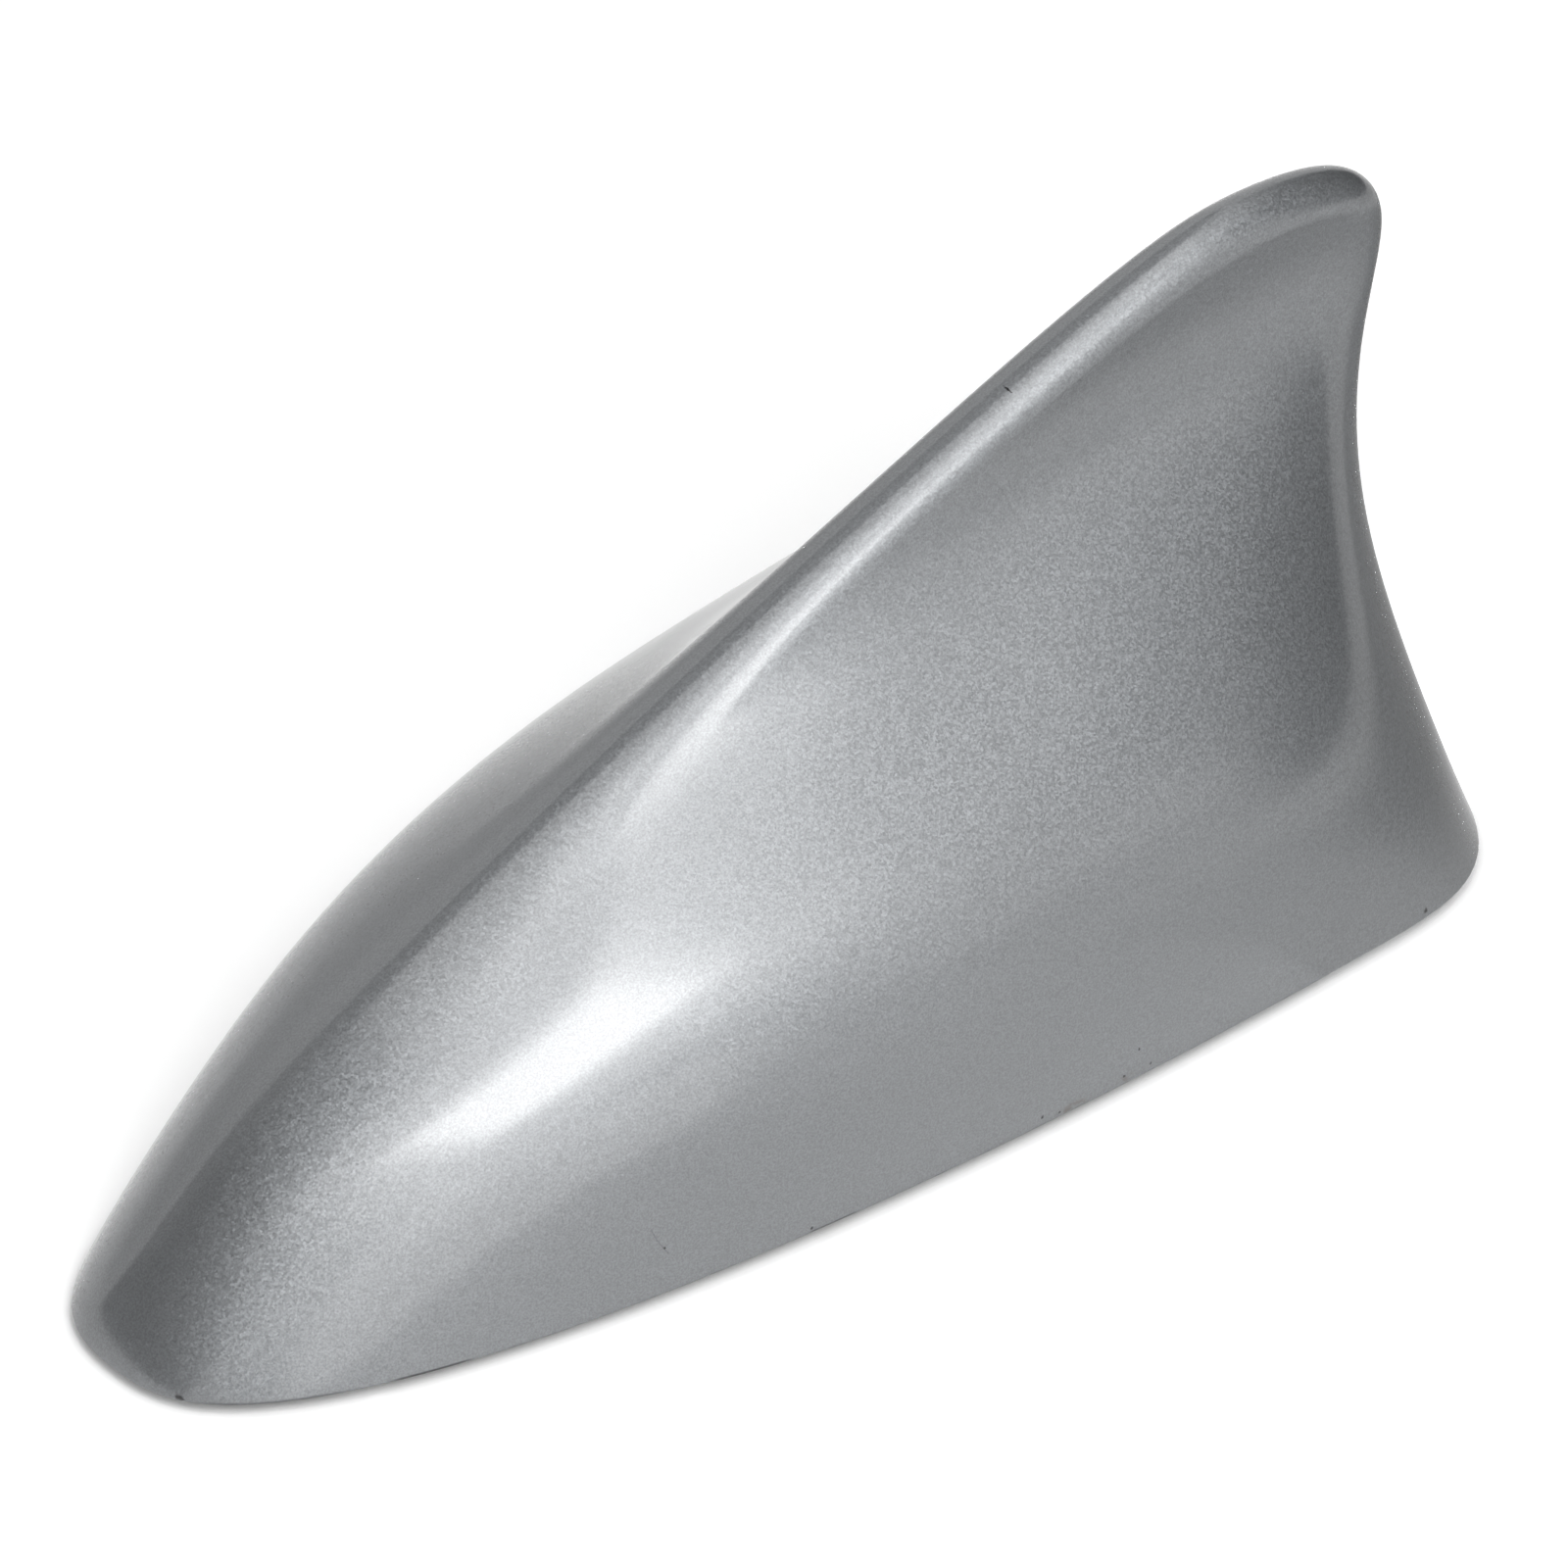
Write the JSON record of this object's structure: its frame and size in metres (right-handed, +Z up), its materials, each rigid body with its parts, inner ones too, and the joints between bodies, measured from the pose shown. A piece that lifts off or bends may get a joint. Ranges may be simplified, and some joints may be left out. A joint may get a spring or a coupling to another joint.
{
  "type": "shark fin aerial",
  "caption": "Silver fin-shaped roof aerial: a moulded cover over an amplifier board, loading coil and top plate on a base with a foam pad that sticks it to a car roof.",
  "frame": {"origin": "centre of the cover's rim, on the plane of the roof", "axes": "+X from the nose to the tail, +Z up from the roof, Y across the fin"},
  "size_m": [0.16, 0.0642, 0.0675],
  "materials": {
    "silver_paint": "moulded plastic with silver metallic paint under clear coat",
    "black_moulding": "black moulded plastic with a fine grain",
    "pad_foam": "dark acrylic foam with open cells",
    "black_rubber": "black rubber",
    "zinc_steel": "zinc plated steel",
    "tinned_steel": "tinned sheet steel",
    "contact_brass": "bright brass",
    "board_green": "glass fibre board with green solder mask",
    "natural_nylon": "uncoloured nylon",
    "copper_wire": "enamelled copper wire",
    "damping_foam": "grey foam",
    "chip_black": "black moulded epoxy",
    "ceramic_tan": "fired ceramic",
    "can_aluminium": "drawn aluminium can",
    "ferrite": "sintered ferrite"
  },
  "bodies": {
    "root": {"cover": "silver_paint", "base_plate": "black_moulding", "adhesive_pad": "pad_foam", "perimeter_seal": "black_rubber", "cable_grommet": "black_rubber", "cover_screws": "zinc_steel", "ground_plate": "tinned_steel", "earth_spring": "contact_brass", "circuit_board": "board_green", "board_screws": "zinc_steel", "element_mast": "natural_nylon", "antenna_coil": "copper_wire", "top_load_plate": "tinned_steel", "foam_pads": "damping_foam", "coil_terminal": "contact_brass", "lead_pins": "contact_brass", "amplifier_chip": "chip_black", "chip_capacitors": "ceramic_tan", "chip_resistors": "chip_black", "electrolytic_capacitor": "can_aluminium", "choke_core": "ferrite", "choke_winding": "copper_wire"}
  },
  "joints": []
}
